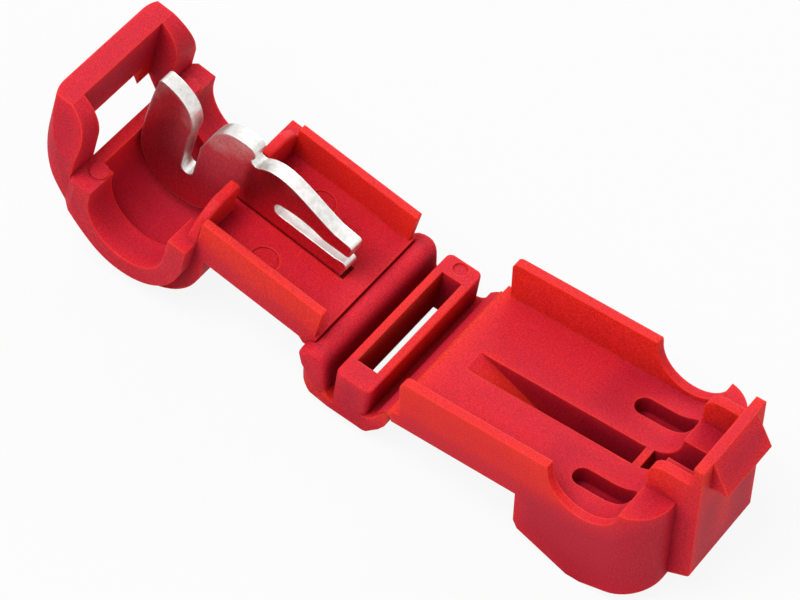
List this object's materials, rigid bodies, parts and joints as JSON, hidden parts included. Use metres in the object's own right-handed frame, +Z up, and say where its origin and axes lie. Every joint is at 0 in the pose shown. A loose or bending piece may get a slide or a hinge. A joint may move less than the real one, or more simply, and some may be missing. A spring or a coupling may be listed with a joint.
{
  "type": "quick wire connector",
  "caption": "Open T-tap wire splice: a hinged nylon moulding with a latch, holding a stamped contact that bites a running wire and takes a flat tab through the mouth in its link.",
  "frame": {"origin": "centre of the bounding box at the level that the part rests on", "axes": "+X along the open part from the latch frame to the latch plate, +Y across it along the wire channel, +Z up, out of the open trays"},
  "size_m": [0.0392, 0.0102, 0.0105],
  "materials": {
    "red_nylon": "moulded nylon, satin with a fine grain",
    "tinned_brass": "bright tin plate with bare sheared edges"
  },
  "bodies": {
    "base": {"base_shell": "red_nylon", "contact": "tinned_brass"},
    "link": {"entry_link": "red_nylon"},
    "cover": {"cover_shell": "red_nylon"}
  },
  "joints": [
    {"name": "base_web", "type": "hinge", "parent": "base", "child": "link", "pos_m": [-0.00196, 0, 0.00324], "axis": [0, -1, 0], "range_deg": [-6.7, 83.3]},
    {"name": "cover_web", "type": "hinge", "parent": "link", "child": "cover", "pos_m": [0.00264, 0, 0.00308], "axis": [0, -1, 0], "range_deg": [-6.7, 83.3]}
  ]
}
